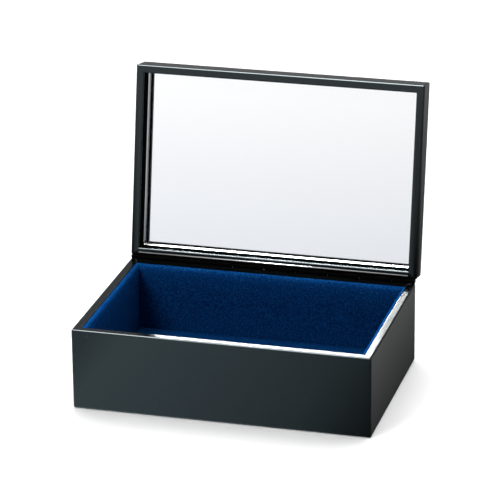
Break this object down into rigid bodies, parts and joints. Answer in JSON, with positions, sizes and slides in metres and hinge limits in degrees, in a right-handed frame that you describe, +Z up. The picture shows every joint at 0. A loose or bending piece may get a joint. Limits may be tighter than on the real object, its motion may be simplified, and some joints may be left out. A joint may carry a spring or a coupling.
{
  "type": "vanity trinket box",
  "caption": "Rectangular black lacquered box lined with blue velvet, with a back-hinged lid that opens past upright and holds an inset mirror.",
  "frame": {"origin": "middle of the base's underside, on the table", "axes": "+X along the long side to the right, -Y towards the front, +Z up"},
  "size_m": [0.18, 0.1547, 0.169],
  "materials": {
    "black_lacquer": "high gloss",
    "board": "plain",
    "felt": "matte",
    "card": "plain",
    "blue_velvet": "velvet",
    "foam": "plain",
    "black_hinge": "satin",
    "pin_steel": "brushed",
    "glass": "polished",
    "silvering": "mirror",
    "tape": "plain",
    "silver_bead": "bright"
  },
  "bodies": {
    "base": {"base_front_wall": "black_lacquer", "base_right_wall": "black_lacquer", "base_back_wall": "black_lacquer", "base_left_wall": "black_lacquer", "base_floor_board": "board", "base_felt": "felt", "card_front": "card", "card_right": "card", "card_back": "card", "card_left": "card", "velvet_front": "blue_velvet", "velvet_right": "blue_velvet", "velvet_back": "blue_velvet", "velvet_left": "blue_velvet", "pad_card": "card", "pad_foam": "foam", "pad_velvet": "blue_velvet", "hinge_base_leaf": "black_hinge", "hinge_base_nails": "black_hinge", "hinge_pin": "pin_steel"},
    "lid": {"lid_front_rail": "black_lacquer", "lid_right_rail": "black_lacquer", "lid_back_rail": "black_lacquer", "lid_left_rail": "black_lacquer", "lid_panel": "black_lacquer", "mirror_glass": "glass", "mirror_silvering": "silvering", "mirror_tape": "tape", "bead_front": "silver_bead", "bead_right": "silver_bead", "bead_back": "silver_bead", "bead_left": "silver_bead", "hinge_lid_leaf": "black_hinge", "hinge_lid_nails": "black_hinge"}
  },
  "joints": [
    {"name": "lid_hinge", "type": "hinge", "parent": "base", "child": "lid", "pos_m": [0, 0.0601, 0.0513], "axis": [1, 0, 0], "range_deg": [0, 100]}
  ]
}
